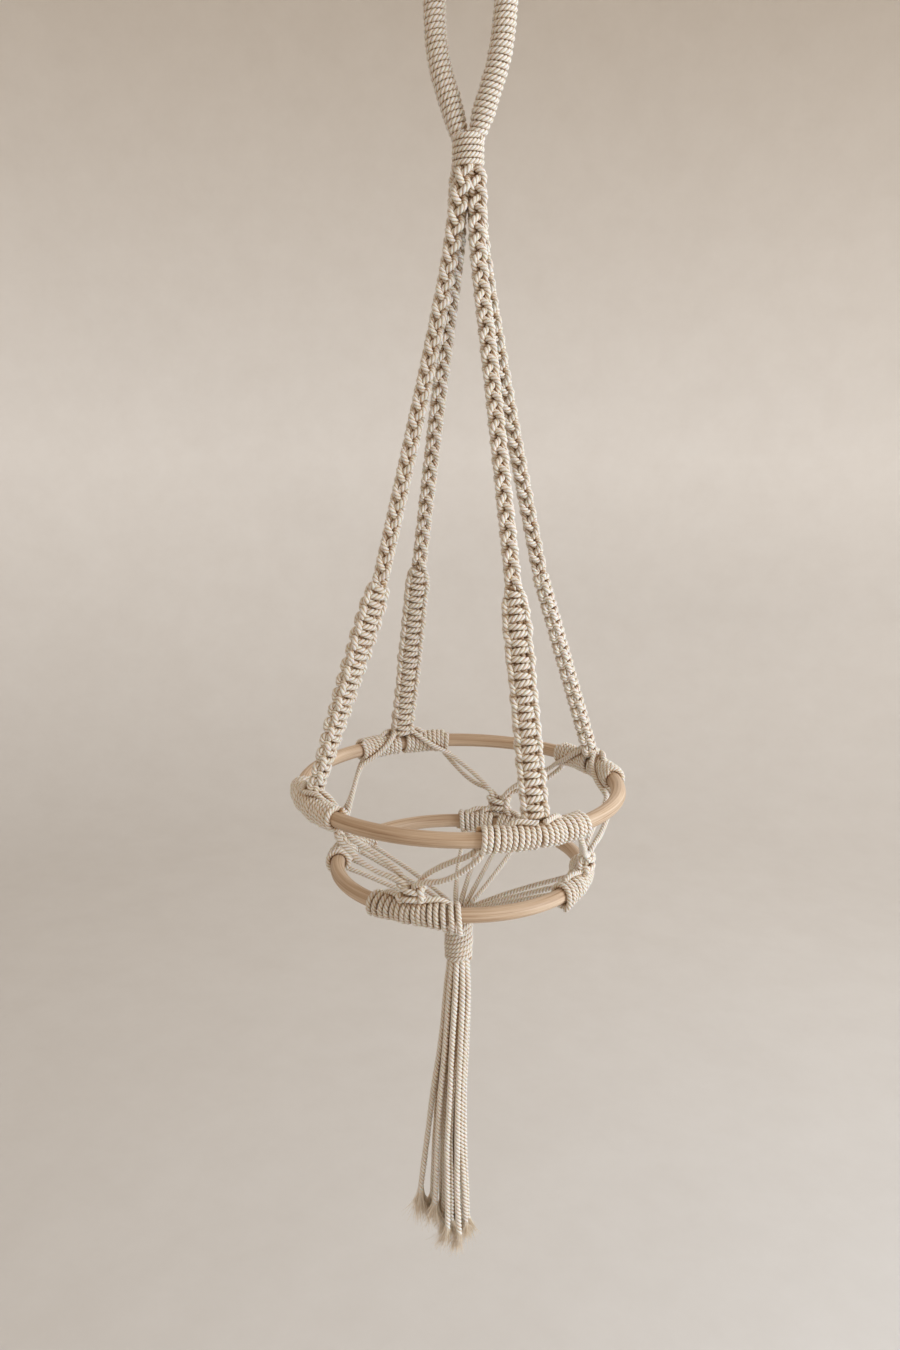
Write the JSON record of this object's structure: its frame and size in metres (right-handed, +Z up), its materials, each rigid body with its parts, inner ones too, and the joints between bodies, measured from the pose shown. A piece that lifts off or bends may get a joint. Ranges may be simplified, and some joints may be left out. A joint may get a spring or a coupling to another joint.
{
  "type": "hanging planter holder",
  "caption": "Knotted cotton plant hanger: a whipped hanging loop, braided arms, two cane rings that cradle a pot, and a tassel.",
  "frame": {"origin": "inside of the top of the hanging loop, where the hook bears", "axes": "+Z up along the hanging axis; the hanging loop lies in the XZ plane; the four arms stand at 45 degrees to X and Y"},
  "size_m": [0.25, 0.25, 0.9799],
  "materials": {
    "cotton": "matte twisted cotton cord",
    "cane": "smooth bare cane"
  },
  "bodies": {
    "hanger": {"loop_core": "cotton", "loop_whipping": "cotton"},
    "neck": {"neck_wrap": "cotton", "neck_bundle": "cotton"},
    "frame": {"front_right_braid": "cotton", "back_right_braid": "cotton", "back_left_braid": "cotton", "front_left_braid": "cotton", "front_right_ladder": "cotton", "back_right_ladder": "cotton", "back_left_ladder": "cotton", "front_left_ladder": "cotton", "upper_ring": "cane", "front_right_hitches": "cotton", "back_right_hitches": "cotton", "back_left_hitches": "cotton", "front_left_hitches": "cotton", "net_pair_front_left": "cotton", "net_pair_front_right": "cotton", "net_pair_right_left": "cotton", "net_pair_right_right": "cotton", "net_pair_back_left": "cotton", "net_pair_back_right": "cotton", "net_pair_left_left": "cotton", "net_pair_left_right": "cotton"},
    "basket": {"lower_ring": "cane", "front_hitches": "cotton", "right_hitches": "cotton", "back_hitches": "cotton", "left_hitches": "cotton", "front_knot": "cotton", "right_knot": "cotton", "back_knot": "cotton", "left_knot": "cotton", "front_base_cords": "cotton", "right_base_cords": "cotton", "back_base_cords": "cotton", "left_base_cords": "cotton"},
    "tassel": {"gather_bundle": "cotton", "tassel_wrap": "cotton", "tassel_cord_01": "cotton", "tassel_cord_02": "cotton", "tassel_cord_03": "cotton", "tassel_cord_04": "cotton", "tassel_cord_05": "cotton", "tassel_cord_06": "cotton", "tassel_cord_07": "cotton", "tassel_cord_08": "cotton", "tassel_cord_09": "cotton", "tassel_cord_10": "cotton", "tassel_cord_11": "cotton", "tassel_cord_12": "cotton", "tassel_cord_13": "cotton", "tassel_cord_14": "cotton", "tassel_cord_15": "cotton", "tassel_cord_16": "cotton"}
  },
  "joints": [
    {"name": "neck_swing", "type": "hinge", "parent": "hanger", "child": "neck", "pos_m": [0, 0, -0.1135], "axis": [0, 1, 0], "range_deg": [-16, 16], "deforming": ["neck_bundle"]},
    {"name": "planter_twist", "type": "hinge", "parent": "neck", "child": "frame", "pos_m": [0, 0, -0.138], "axis": [0, 0, 1], "range_deg": [-180, 180]},
    {"name": "basket_lift", "type": "slide", "parent": "frame", "child": "basket", "axis": [0, 0, 1], "range_m": [0, 0.05], "deforming": ["net_pair_front_left", "net_pair_front_right", "net_pair_right_left", "net_pair_right_right", "net_pair_back_left", "net_pair_back_right", "net_pair_left_left", "net_pair_left_right"]},
    {"name": "tassel_swing", "type": "hinge", "parent": "basket", "child": "tassel", "pos_m": [0, 0, -0.688], "axis": [0, 1, 0], "range_deg": [-20, 20], "deforming": ["gather_bundle"]}
  ]
}
